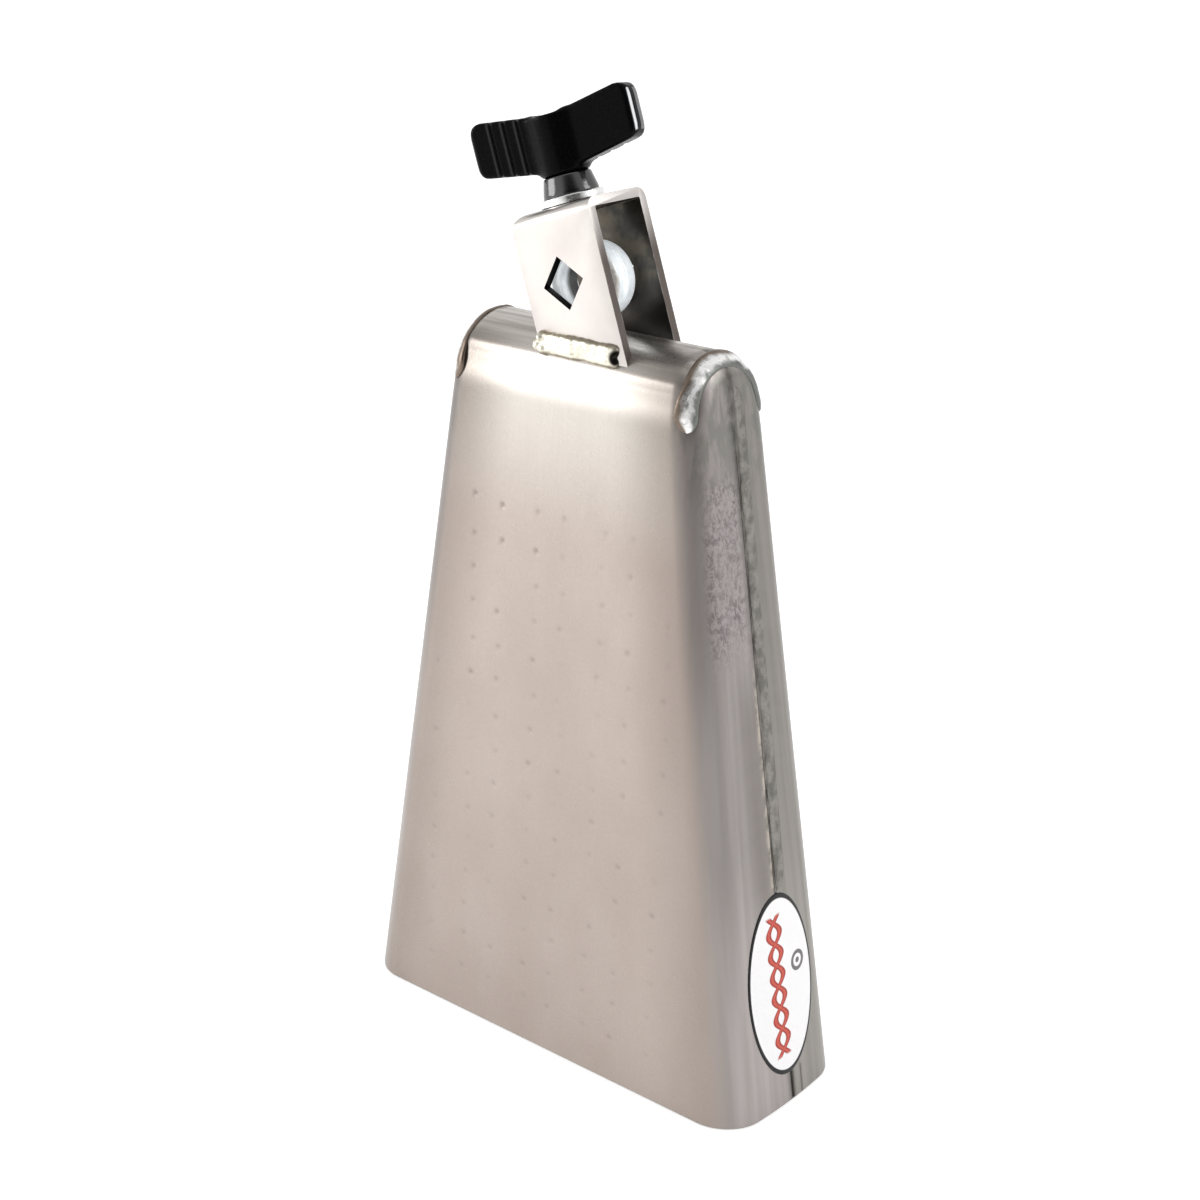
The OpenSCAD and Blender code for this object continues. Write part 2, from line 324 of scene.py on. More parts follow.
def make_bell():
    outer_z = [FOLD_Z + CROWN_R * math.sin(math.radians(a)) for a in np.arange(89, 4, -2.0)]
    outer_z += list(np.linspace(TANGENT_Z, 0.4, 330))
    inner_r = CROWN_R - SHEET_T
    inner_z = list(np.linspace(0.4, FOLD_Z, 40))
    inner_z += [FOLD_Z + inner_r * math.sin(math.radians(a)) for a in np.arange(6, 88, 6.0)]
    rows = [(z, 0.0) for z in outer_z]
    rows += [(0.12, 0.12), (0, 0.4), (0, SHEET_T - 0.4), (0.12, SHEET_T - 0.12)]
    rows += [(z, SHEET_T) for z in inner_z]
    rings = []
    for z, inset in rows:
        if z > FOLD_Z and inset == SHEET_T:
            full = depth = math.sqrt(max(inner_r**2 - (z - FOLD_Z) ** 2, 0.02))
        else:
            full = max(float(half_depth(np.array(z))) - inset, 0.15)
            depth = max(sheet_depth(z) - inset, 0.15) if z > 20 else full
        rings.append(bell_ring(z, inset, depth, full))
    points = np.concatenate(rings)
    columns = len(rings[0])
    outer = np.zeros(len(points), bool)
    outer[: len(outer_z) * columns] = True

    x, y, z = points.T
    on_front = outer & (y < -half_depth(z) + 0.6) & (z < TANGENT_Z - 10)
    on_front &= np.abs(x) < MOUTH_W / 2 - MOUTH_CORNER_R - z * SIDE_SLOPE
    # Painted shade on the upper side of each dent; the dents themselves are pressed into the
    # points.
    dent_shade_map = np.zeros(len(points))
    for column in range(8):
        for row in range(15):
            dx, dz = rng.normal(0, 0.45, 2)
            cx = -41.5 + DENT_PITCH_X * column + (0.8 if column % 2 else -0.8) + dx
            cz = 13.5 + DENT_PITCH_Z * row + dz
            strength = np.clip(rng.normal(0.55, 0.25), 0.12, 1)
            strength *= 0.55 + 0.75 * smoothstep(60, 150, cz) * smoothstep(30, -35, cx)
            near = on_front & (np.abs(x - cx) < 2.2) & (np.abs(z - cz) < 2.2)
            r = np.hypot((x[near] - cx) / 1.15, (z[near] - cz) / 1.05)
            points[near, 1] += 0.26 * strength * np.exp(-(r**2) * 1.9)
            above = np.hypot(x[near] - cx, (z[near] - cz - 0.35) / 0.8)
            dent_shade_map[near] = np.maximum(dent_shade_map[near], strength * np.exp(-(above**2) * 1.6))

    seam = outer & (np.abs(x) > end_x(y, z) - 0.05) & (z < FOLD_Z)
    for seam_y, width, depth in ((SEAM_Y, 0.34, 0.45), (SEAM_STRIP_Y, 0.24, 0.2)):
        groove = depth * peak(y, seam_y, width) * seam
        groove = groove * ((z < 100) if seam_y > 3 else smoothstep(FOLD_Z, FOLD_Z - 8, z))
        points[:, 0] -= np.sign(x) * groove
    sink = 0.04 * (1 + noise3(points[outer] * (1, 1, 0.35), 22, 3))
    points[outer, 1] -= np.sign(y[outer]) * sink * np.minimum(np.abs(y[outer]) / 3, 1)

    from_end = end_x(np.zeros_like(z), z) - np.abs(x)
    corner = smoothstep(9.5, 2.5, from_end)
    rising = smoothstep(150, 192, z)
    on_end = outer & (np.abs(x) > end_x(y, z) - 0.6)
    darker_upwards = 0.75 + 0.35 * smoothstep(60, 150, z) + 0.4 * smoothstep(155, 185, z)
    above_label = smoothstep(50, 58, z) * smoothstep(128, 112, z)
    seam_foot = np.maximum(peak(y, SEAM_Y, 0.85), 0.6 * peak(y, SEAM_STRIP_Y, 0.4))
    attributes = {
        # painted shade on the upper side of each dent
        "dent_shade": dent_shade_map,
        # painted shade towards the ends, stronger higher up
        "near_end": smoothstep(30, 7, from_end) * outer * darker_upwards,
        # painted shade along the rounded corners
        "corner": peak(from_end, 4.5, 3.2) * outer * smoothstep(95, 140, z),
        # painted shade in the seam's groove
        "groove": peak(y, SEAM_Y - 0.3 - 0.5 * rising, 0.75 + rising) * on_end,
        # painted highlight on the edge beside the seam's groove
        "ridge": peak(y, SEAM_Y - 1.25, 0.6) * on_end * above_label,
        "foot": seam_foot * on_end * smoothstep(9.2, 8.0, z),
        "side": corner * outer,
        "back": smoothstep(0.2, 1.6, y) * outer,
        "across": y / np.maximum(half_depth(z), 4),
        "inside": (~outer).astype(float),
    }
    bell = outward(mesh_object("bell_sheet", points, tube_faces(len(rings), columns), attributes))
    return dress(bell, "bell", "bell_steel", "bell_shell")


make_bell()

# ---------------------------------------------------------------- welds on the bell


def lip_point(side, s, t, lift):
    """Point on the end of the fold: s runs over the arch in mm, and t from its inner edge on
    the narrow side (0) to its edge on the fold (1)."""
    quarter = CROWN_R * math.pi / 2
    theta = np.clip(s, -quarter, quarter) / CROWN_R
    drop = np.maximum(np.abs(s) - quarter, 0)
    round_r = (FRONT_END_R + REAR_END_R) / 2 - (FRONT_END_R - REAR_END_R) / 2 * np.sin(theta)
    first = np.arcsin((ARCH_INNER_R - CROWN_R + round_r) / round_r)
    reach = 5.2 + 1.6 * smoothstep(0.5, 0.9, np.abs(s) / ARCH_LENGTH)
    flat = np.maximum(reach - round_r, 0)
    last = np.arccos(np.clip(1 - reach / round_r, -1, 1))
    last = np.where(reach > round_r, math.pi / 2, last)
    length = round_r * (last - first) + flat
    along = t * length
    phi = np.minimum(first + along / round_r, last)
    run = np.maximum(along - round_r * (last - first), 0)
    q = CROWN_R - round_r + round_r * np.sin(phi) + lift * np.sin(phi)
    y = q * np.sin(theta)
    z = FOLD_Z - drop + q * np.cos(theta)
    x = MOUTH_W / 2 - z * SIDE_SLOPE - round_r + (round_r + lift) * np.cos(phi) - run
    return np.stack([side * x, y, z], -1)


ARCH_INNER_R = 11.3
ARCH_LENGTH = CROWN_R * math.pi / 2 + 2.8


def make_crown_weld(side, name, node, seed):
    """Weld bead round one end of the fold: a lumpy band with a rounded ear at each foot."""
    s = np.linspace(-ARCH_LENGTH, ARCH_LENGTH, 150)
    ear = np.sqrt(np.clip(1 - ((np.abs(s) - ARCH_LENGTH + 4.5) / 4.5).clip(0) ** 2, 0.0025, 1))
    across = np.linspace(-1, 1, 30)
    rings, crest = [], []
    for i, place in enumerate(s):
        t = 0.5 + 0.5 * across * ear[i]
        top = lip_point(side, np.full_like(t, place), t, np.zeros_like(t))
        rise = (1 - np.abs(across) ** 4) ** 0.6 * ear[i] ** 0.5
        lumps = noise3(top, 3.4, seed) * 0.16 + noise3(top, 1.2, seed + 1) * 0.05
        top = lip_point(side, np.full_like(t, place), t, rise * (0.66 + lumps) - 0.04)
        low = lip_point(side, np.full_like(t, place), t[::-1], np.full_like(t, -1.25))
        rings.append(np.concatenate([top, low]))
        crest.append(np.concatenate([across, across[::-1]]))
    columns = len(rings[0])
    faces = tube_faces(len(rings), columns)
    shades = {"crest": np.concatenate(crest)}
    piece = outward(mesh_object(name, np.concatenate(rings), faces, shades))
    return dress(piece, "bell", "ground_weld", node)


def make_seam_weld(side, name, node, seed):
    """Bead along a narrow side, steep at the groove and fading out towards the rear."""
    z = np.linspace(60.5, 194.5, 300)
    across = np.linspace(0, 1, 14)
    rings = []
    for place in z:
        wander = 0.18 * noise3([[0, 0, place]], 4, seed)[0]
        from_tip = min(place - 60.5, 194.5 - place)
        width = 4.0 * math.sqrt(1 - (1 - min(from_tip / 6, 1)) ** 2) + 0.05
        y = SEAM_Y + 0.35 + wander + across * width
        heights = np.full_like(y, place)
        x = end_x(y, heights)
        rise = np.minimum(across * 9, 1) ** 0.5 * (1 - across**2.5) ** 0.8
        spot = np.stack([x, y, heights], 1)
        lumps = 0.24 + 0.16 * noise3(spot, 3.2, seed) + 0.06 * noise3(spot, 1.1, seed + 1)
        fade = min(1, (place - 60) / 3, (195 - place) / 2)
        top = np.stack([side * (x + rise * lumps * fade - 0.02), y, heights], 1)
        low = np.stack([side * (x - 0.5), y, heights], 1)[::-1]
        rings.append(np.concatenate([top, low]))
    columns = len(rings[0])
    count = columns * len(rings)
    faces = tube_faces(len(rings), columns)
    piece = outward(mesh_object(name, np.concatenate(rings), faces, {"seam": np.ones(count)}))
    return dress(piece, "bell", "ground_weld", node)


FOOT_HALF = 13.5
FOOT_TOP = (11.1, 200.9)  # (y, z) of the section's two ends
FOOT_LOW = (11.35, 197.9)
FOOT_LENGTH_SQUARED = 9.06
FOOT_R = 1.42
FOOT_BLOBS = ((-13.2, 11.6, 198.4, 1.75), (-11.2, 12.2, 197.6, 1.2), (-12.2, 12.2, 200.6, 1.1))
PIT_Z = 199.4


def make_foot_weld(side, name, node, seed):
    """Fillet where a wall of the bracket meets the fold: blobs at one end, a pit at the other."""
    middle = ROD[0] + math.tan(TILT) * (ROD[2] - BELL_H) + BRACKET_SHIFT
    half = FOOT_HALF

    def field(x, y, z):
        y = side * y
        (ay, az), (by, bz) = FOOT_TOP, FOOT_LOW
        t = ((y - ay) * (by - ay) + (z - az) * (bz - az)) / FOOT_LENGTH_SQUARED
        t = np.clip(t, 0, 1)
        section = np.hypot(y - ay - t * (by - ay), z - az - t * (bz - az)) - FOOT_R
        body = rounded_block(section, np.abs(x - middle) - half, 1.2)
        for dx, dy, dz, r in FOOT_BLOBS:
            blob = np.sqrt((x - middle - dx) ** 2 + (y - dy) ** 2 + (z - dz) ** 2) - r
            body = smooth_min(body, blob, 0.6)
        pit = np.sqrt(((x - middle - half) / 1.9) ** 2 + (y - 12.1) ** 2 + ((z - PIT_Z) / 1.5) ** 2)
        body = smooth_max(body, 1.05 - pit, 0.4)
        spot = np.stack([x.ravel(), side * y.ravel(), z.ravel()], 1)
        lumps = 0.30 * noise3(spot, 4.2, seed) + 0.09 * noise3(spot, 1.4, seed + 1)
        ripple = 0.02 * np.sin(x * 2.6 + 1.2 * np.sin(x * 0.7))
        return body - lumps.reshape(x.shape) - ripple

    low_y, high_y = sorted((side * 8.6, side * 14.2))
    low = (middle - half - 2.2, low_y, 194.6)
    high = (middle + half + 1.6, high_y, 203.6)
    piece = surface_nets(name, field, low, high, 0.3)
    # The pit's hollow is painted dark below, as shade.
    from_pit = np.linalg.norm(points_of(piece) - (middle + half, side * 12.3, PIT_Z), axis=1)
    mark(piece.data, "pit", smoothstep(2.6, 1.6, from_pit))
    return dress(piece, "bell", "foot_weld", node)


make_crown_weld(-1, "left_crown_bead", "left_crown_weld", 11)
make_crown_weld(1, "right_crown_bead", "right_crown_weld", 21)
make_seam_weld(-1, "left_seam_bead", "left_seam_weld", 31)
make_seam_weld(1, "right_seam_bead", "right_seam_weld", 41)
make_foot_weld(-1, "front_foot_bead", "front_foot_weld", 51)
make_foot_weld(1, "rear_foot_bead", "rear_foot_weld", 61)

# ---------------------------------------------------------------- the clamp


def make_bracket():
    """The CAD bracket with its sheared edges broken."""
    bm = bmesh.new()
    bm.from_mesh(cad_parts["mount_bracket"].data)
    bmesh.ops.remove_doubles(bm, verts=bm.verts, dist=1e-6)
    bmesh.ops.dissolve_limit(
        bm,
        angle_limit=math.radians(0.5),
        verts=bm.verts,
        edges=bm.edges,
        use_dissolve_boundaries=False,
    )
    mesh = bpy.data.meshes.new("bracket_channel")
    bm.to_mesh(mesh)
    bm.free()
    piece = bpy.data.objects.new("bracket_channel", mesh)
    bpy.context.scene.collection.objects.link(piece)
    mesh.polygons.foreach_set("use_smooth", np.ones(len(mesh.polygons), bool))
    bevel = piece.modifiers.new("broken_edges", "BEVEL")
    bevel.width = 0.4 * MM
    bevel.segments = 3
    bevel.limit_method = "ANGLE"
    bevel.angle_limit = math.radians(35)
    bevel.harden_normals = True
    return dress(piece, "bell", "bracket_plating", "mount_bracket")


def lathe(name, profile, place, steps=128):
    """Turned piece: profile is a closed list of (radius, height), in millimetres."""
    turn = np.linspace(0, 2 * math.pi, steps, endpoint=False)
    profile = np.array(profile, float)
    points, faces, n = [], [], len(profile)
    for angle in turn:
        r, z = profile.T
        points.append(np.stack([r * math.cos(angle), r * math.sin(angle), z], 1))
    for i in range(steps):
        for j in range(n):
            k, m = (i + 1) % steps, (j + 1) % n
            faces.append((i * n + j, k * n + j, k * n + m, i * n + m))
    piece = outward(mesh_object(name, np.concatenate(points), faces))
    move_by(piece, place)
    return piece


def rounded_profile(corners, steps=5):
    """Profile from (radius, height, rounding) corners, each rounded by a small arc."""
    out, n = [], len(corners)
    for i, (r, z, cut) in enumerate(corners):
        p = Vector((r, z))
        a = Vector(corners[i - 1][:2]) - p
        b = Vector(corners[(i + 1) % n][:2]) - p
        if cut == 0:
            out.append(tuple(p))
            continue
        start, end = p + a.normalized() * cut, p + b.normalized() * cut
        for k in range(steps + 1):
            t = k / steps
            q = start * (1 - t) ** 2 + p * 2 * t * (1 - t) + end * t**2
            out.append(tuple(q))
    return out


# The washer and the insert, in the clamp's own frame
WASHER_HOLE_R = 4.3
WASHER_R = 8.4
WASHER_Z = (19.02, 21.16)
INSERT_BORE_R = 4.02
INSERT_LOW = 21.22
INSERT_TOP = GRIP_TOP - 2


def make_washer():
    low, top = WASHER_Z
    profile = rounded_profile(
        [
            (WASHER_HOLE_R, low, 0.3),
            (WASHER_R, low, 0.35),
            (WASHER_R, top, 0.6),
            (WASHER_HOLE_R, top, 0.3),
        ]
    )
    return dress(lathe("washer_turned", profile, clamp_frame), "washer", "washer_plating", "washer")


def make_insert():
    profile = rounded_profile(
        [
            (INSERT_BORE_R, INSERT_LOW, 0.2),
            (7.3, INSERT_LOW, 0.25),
            (7.25, 22.0, 0.3),
            (6.25, 26.2, 0.4),
            (4.95, 26.75, 0.1),
            (4.9, INSERT_TOP, 0.3),
            (INSERT_BORE_R, INSERT_TOP, 0.2),
        ]
    )
    piece = lathe("insert_turned", profile, clamp_frame)
    return dress(piece, "wing_nut", "insert_chrome", "wing_nut_insert")


EYE_R = 10.1
EYE_HOLE_R = 7.2
EYE_T = 9.8
EYE_DROP = 1.1
EYE_TURN = math.radians(10)
THREAD_PITCH = 1.411
THREAD_DEPTH = 0.78
THREAD_LOW = 10.4
THREAD_STEPS = 12  # rings a pitch
THREAD_SIDES = 48


def eye_place(x, y, z):
    """Distance across the ring, distance along its hole, and distance from the hole's axis."""
    c, s = math.cos(EYE_TURN), math.sin(EYE_TURN)
    across = x * c + y * s
    return across, y * c - x * s, np.hypot(across, z + EYE_DROP)


def eye_field(x, y, z):
    """Forged eye with a flash ridge round its rim, and the root of its shank."""
    _, along, r = eye_place(x, y, z)
    ring = rounded_block(
        np.abs(r - (EYE_R + EYE_HOLE_R) / 2) - (EYE_R - EYE_HOLE_R) / 2,
        np.abs(along) - EYE_T / 2 + 0.05,
        1.15,
    )
    flash = rounded_block(np.abs(r - EYE_R) - 0.45, np.abs(along + 0.4) - 0.4, 0.25)
    shank = rounded_block(np.hypot(x, y) - BOLT_R + 0.1, np.abs(z - 9.5) - 1.6, 0.2)
    return smooth_min(smooth_min(ring, flash, 0.5), shank, 1.6)


def make_thread():
    """Threaded shank: the thread runs out at both ends, and the top is tapered."""
    turn = np.linspace(0, 2 * math.pi, THREAD_SIDES, endpoint=False)
    rings = []
    for z in np.arange(THREAD_LOW, BOLT_END + 0.01, THREAD_PITCH / THREAD_STEPS):
        phase = (z / THREAD_PITCH - turn / (2 * math.pi)) % 1
        depth = THREAD_DEPTH * np.clip(1 - 2 * np.abs(phase - 0.5) * 1.15, 0, 1)
        ends = min(smoothstep(THREAD_LOW, 12.2, z), smoothstep(BOLT_END, BOLT_END - 1.2, z))
        taper = 0.7 * smoothstep(BOLT_END - 0.9, BOLT_END, z)
        r = BOLT_R - depth * ends - taper
        rings.append(np.stack([r * np.cos(turn), r * np.sin(turn), np.full_like(turn, z)], 1))
    faces = tube_faces(len(rings), len(turn))
    return outward(mesh_object("thread", np.concatenate(rings), faces))


def make_eye_bolt():
    """The forged eye and its thread as one object."""
    eye = surface_nets("eye_bolt_forged", eye_field, (-11.5, -8, -12.5), (11.5, 8, 11.8), 0.27)
    thread = make_thread()
    both = bmesh.new()
    both.from_mesh(eye.data)
    both.from_mesh(thread.data)
    both.to_mesh(eye.data)
    both.free()
    bpy.data.objects.remove(thread)
    across, along, reach = eye_place(*points_of(eye).T)
    # Painted shade on the right half of the ring's front face, and deep in its hole.
    on_front = smoothstep(-3.0, -4.4, along) * smoothstep(7.0, 7.4, reach)
    mark(eye.data, "bore", smoothstep(7.9, 7.3, reach) * smoothstep(-2.4, 0.6, along))
    mark(eye.data, "ring_front_shade", on_front * (across > 0))
    move_by(eye, clamp_frame)
    return dress(eye, "eye_bolt", "bolt_plating", "eye_bolt")


WING_TURN = math.radians(15)
WING_SPAN = 47.5
WING_T = 7.1
WING_CORNER_R = 2.4  # in plan
WING_LIP_R = 3.8  # in elevation
WING_LOW = GRIP_Z + 7.4  # heights of the lip's lower and upper corner
WING_TOP = GRIP_Z + 14
HUB_R = 6.2
RIB_GROOVES = (8.8, 12.7, 16.6)
RIB_DEPTH = 0.42


def grip_field(x, y, z):
    """Moulded hub with two wings. The ribs are on one face of each wing, half a turn apart."""
    end, edge, lip = WING_SPAN / 2, 1.1, WING_LIP_R
    outline = [(-2, GRIP_Z - 0.2)]
    for middle, start, stop in ((WING_LOW, -81, 0), (WING_TOP, 0, 95)):
        for angle in np.radians(np.linspace(start, stop, 6)):
            outline.append((end - lip + lip * math.cos(angle), middle + lip * math.sin(angle)))
    outline.append((-2, GRIP_Z + 14.6))
    wing = polygon_distance(np.abs(x), z, outline)
    plan = rounded_block(np.abs(x) - end, np.abs(y) - WING_T / 2, WING_CORNER_R)
    near = np.sign(x) * y
    wings = rounded_block(wing, plan, edge)
    on_face = smoothstep(0.4, 2.2, near)
    for groove in RIB_GROOVES:
        wings = wings + RIB_DEPTH * peak(np.abs(x), groove, 0.42) * on_face
    hub = rounded_block(np.hypot(x, y) - HUB_R, np.abs(z - (GRIP_Z + GRIP_TOP) / 2) - 7.55, 0.7)
    body = smooth_min(wings, hub, 2.0)
    bore = rounded_block(np.hypot(x, y) - 4.95, np.abs(z - GRIP_Z - 8) - 12, 0.3)
    return smooth_max(body, -bore, 0.35)


def make_grip():
    half = WING_SPAN / 2 + 1
    place = clamp_frame @ Matrix.Rotation(WING_TURN, 4, "Z")
    low, high = (-half, -8, GRIP_Z - 1.5), (half, 8, GRIP_Z + 19)
    piece = surface_nets("grip_moulded", grip_field, low, high, 0.3)
    x, y, z = points_of(piece).T
    near, out = np.sign(x) * y, np.abs(x)
    corner = WING_SPAN / 2 - WING_CORNER_R
    turn = np.degrees(np.arctan2(np.abs(y) - WING_T / 2 + WING_CORNER_R, out - corner))
    rim = (out > corner) & (z > GRIP_Z + 5.5) & (z < GRIP_Z + 16)
    ribs = sum(peak(out, groove + 0.75, 0.28) for groove in RIB_GROOVES)
    # A near-white painted highlight along one rounded end; lighter grey at the other end and along
    # the ribs, partly dust and partly painted sheen.
    rim_highlight = rim * (near < 0) * smoothstep(20, 26, turn) * smoothstep(48, 42, turn)
    dust_and_sheen = np.maximum(rim * (near > 0) * smoothstep(70, 30, turn), 0.22 * ribs * (near > 1))
    mark(piece.data, "rim_highlight", rim_highlight)
    mark(piece.data, "dust_and_sheen", dust_and_sheen)
    move_by(piece, place)
    return dress(piece, "wing_nut", "grip_plastic", "wing_nut_grip")


make_bracket()
make_washer()
make_insert()
make_eye_bolt()
make_grip()

# ---------------------------------------------------------------- the label

LABEL_Z = 34.2
LABEL_H = 51.5
LABEL_W = 27.8
LABEL_T = 0.2


def make_label():
    """Oval film on the narrow side, with a softened edge."""
    turn = np.linspace(0, 2 * math.pi, 120, endpoint=False)
    rings = []
    steps = [(r, LABEL_T) for r in np.linspace(0.02, 0.985, 24)]
    steps += [(0.995, LABEL_T * 0.8), (1.0, LABEL_T * 0.3)]
    steps += [(r, -0.05) for r in (1.0, 0.98, 0.03)]
    for r, lift in steps:
        y = r * LABEL_W / 2 * np.sin(turn)
        z = LABEL_Z + r * LABEL_H / 2 * np.cos(turn)
        rings.append(np.stack([end_x(y, z) + lift, y, z], 1))
    faces = tube_faces(len(rings), len(turn))
    piece = outward(mesh_object("label_film", np.concatenate(rings), faces))
    return dress(piece, "bell", "label_film", "label")


make_label()

# ---------------------------------------------------------------- materials


class Nodes:
    """Short ways of adding nodes to a tree."""

    def __init__(self, tree):
        self.tree = tree

    def add(self, kind, inputs=None, **settings):
        node = self.tree.nodes.new(kind)
        for key, value in settings.items():
            setattr(node, key, value)
        for key, value in (inputs or {}).items():
            self.feed(node.inputs[key], value)
        return node

    def feed(self, socket, value):
        if isinstance(value, bpy.types.NodeSocket):
            self.tree.links.new(value, socket)
        else:
            socket.default_value = value

    def math(self, operation, a, b=0.0, c=0.0):
        node = self.add("ShaderNodeMath", operation=operation)
        for socket, value in zip(node.inputs, (a, b, c)):
            self.feed(socket, value)
        return node.outputs[0]

    def times(self, product, *factors):
        for factor in factors:
            product = self.math("MULTIPLY", product, factor)
        return product

    def vector(self, operation, a, b):
        return self.add("ShaderNodeVectorMath", {0: a, 1: b}, operation=operation).outputs["Value"]

    def span(self, value, from_low, from_high, to_low=0.0, to_high=1.0):
        """Maps one range smoothly onto another, and holds it at both ends."""
        inputs = {"Value": value, "From Min": from_low, "From Max": from_high}
        inputs |= {"To Min": to_low, "To Max": to_high}
        node = self.add("ShaderNodeMapRange", inputs, interpolation_type="SMOOTHSTEP")
        return node.outputs[0]

    def mix(self, factor, a, b):
        node = self.add("ShaderNodeMix", data_type="RGBA")
        for index, value in ((0, factor), (6, a), (7, b)):
            if isinstance(value, tuple):
                value = (*value, 1)
            self.feed(node.inputs[index], value)
        return node.outputs[2]


class Look(Nodes):
    """A procedural material. Its nodes read the object's own coordinates, in metres."""

    def __init__(self, name, color, roughness, metallic=1.0):
        self.material = bpy.data.materials.new(name)
        self.material.use_nodes = True
        super().__init__(self.material.node_tree)
        self.shader = self.tree.nodes["Principled BSDF"]
        self.set("Base Color", (*color, 1))
        self.set("Roughness", roughness)
        self.set("Metallic", metallic)
        self.place = self.add("ShaderNodeTexCoord").outputs["Object"]
        self.place_z = self.add("ShaderNodeSeparateXYZ", {"Vector": self.place}).outputs[2]

    def set(self, socket, value):
        """Sets a socket of the shader to a constant, or drives it from another node."""
        self.feed(self.shader.inputs[socket], value)

    def noise(self, size_mm, stretch=(1, 1, 1), detail=3.0, roughness=0.55, place=None):
        """Noise in 0..1 with lumps of about size_mm, stretched along the axes."""
        scale = tuple(1 / s for s in stretch)
        mapped = self.add("ShaderNodeMapping", {"Vector": place or self.place, "Scale": scale})
        shape = {"Scale": 1 / (size_mm * MM), "Detail": detail, "Roughness": roughness}
        texture = self.add("ShaderNodeTexNoise", {"Vector": mapped.outputs[0], **shape})
        return texture.outputs["Fac"]

    def attribute(self, name):
        return self.add("ShaderNodeAttribute", attribute_name=name).outputs["Fac"]

    def axis(self, index):
        """One coordinate in millimetres."""
        split = self.add("ShaderNodeSeparateXYZ", {"Vector": self.place})
        return self.math("MULTIPLY", split.outputs[index], 1 / MM)

    def edges(self, radius_mm):
        """1 on sharp edges and 0 on flats."""
        soft = self.add("ShaderNodeBevel", {"Radius": radius_mm * MM}, samples=4).outputs[0]
        flat = self.add("ShaderNodeNewGeometry").outputs["Normal"]
        return self.span(self.vector("DOT_PRODUCT", soft, flat), 0.995, 0.9)

    def bump(self, height, depth_mm, strength=1.0):
        """Adds a bump; a second call lies on top of the first."""
        size = {"Distance": depth_mm * MM, "Strength": strength}
        node = self.add("ShaderNodeBump", {"Height": height, **size})
        before = self.shader.inputs["Normal"]
        if before.is_linked:
            self.feed(node.inputs["Normal"], before.links[0].from_socket)
        self.feed(before, node.outputs[0])

    def wear(self, *names):
        """Puts the material on the named objects."""
        for name in names:
            mesh = bpy.data.objects[name].data
            mesh.materials.clear()
            mesh.materials.append(self.material)


RUBBED_COLOR = (0.455, 0.412, 0.415)
PIT_COLOR = (0.15, 0.125, 0.13)


def dress_flank(look, z, across, side):
    """Colour of the narrow sides, and how rubbed they are. Only their front halves are rubbed."""
    along = look.add("ShaderNodeCombineXYZ", {"X": look.times(across, 0.02), "Z": look.place_z})
    streak = look.noise(3.2, (1, 1, 30), 2.0, place=along.outputs[0])
    rasp = look.noise(1.15, (1, 1, 1.5), 6.0, 0.8)
    ragged = look.math("MULTIPLY_ADD", look.noise(7), 0.5, look.math("SUBTRACT", across, 0.25))
    rubbed = look.times(
        look.span(z, 120, 136),
        look.span(z, 178, 168),
        look.span(ragged, 0.02, -0.12),
        look.span(across, -0.86, -0.72),
        side,
    )
    clusters = look.span(look.noise(5, (1, 1, 1.8)), 0.32, 0.58, 0.45, 1.0)
    pits = look.times(rubbed, look.span(rasp, 0.45, 0.56), clusters)
    color = look.mix(look.span(streak, 0.3, 0.7), (0.30, 0.272, 0.262), (0.37, 0.34, 0.33))
    color = look.mix(look.times(rubbed, 0.6), color, RUBBED_COLOR)
    color = look.mix(look.times(pits, 0.85), color, PIT_COLOR)
    rear = look.mix(look.span(streak, 0.3, 0.7), (0.23, 0.22, 0.20), (0.30, 0.28, 0.26))
    color = look.mix(look.attribute("back"), color, rear)
    color = look.mix(look.span(z, 42, 78, 0.0, 0.28), color, (0.12, 0.11, 0.105))
    mottle = look.span(look.noise(3, (1, 1, 3), 4.0), 0.42, 0.58)
    color = look.mix(look.times(look.span(z, 160, 182), mottle, 0.6), color, (0.15, 0.157, 0.14))
    beside_seam = look.times(look.span(across, -0.6, -0.2), look.span(across, 0.08, 0.0))
    beside_seam = look.times(beside_seam, look.span(z, 40, 66), look.span(z, 128, 108), 0.42)
    color = look.mix(beside_seam, color, (0.12, 0.105, 0.095))
    return color, look.times(rubbed, rasp)


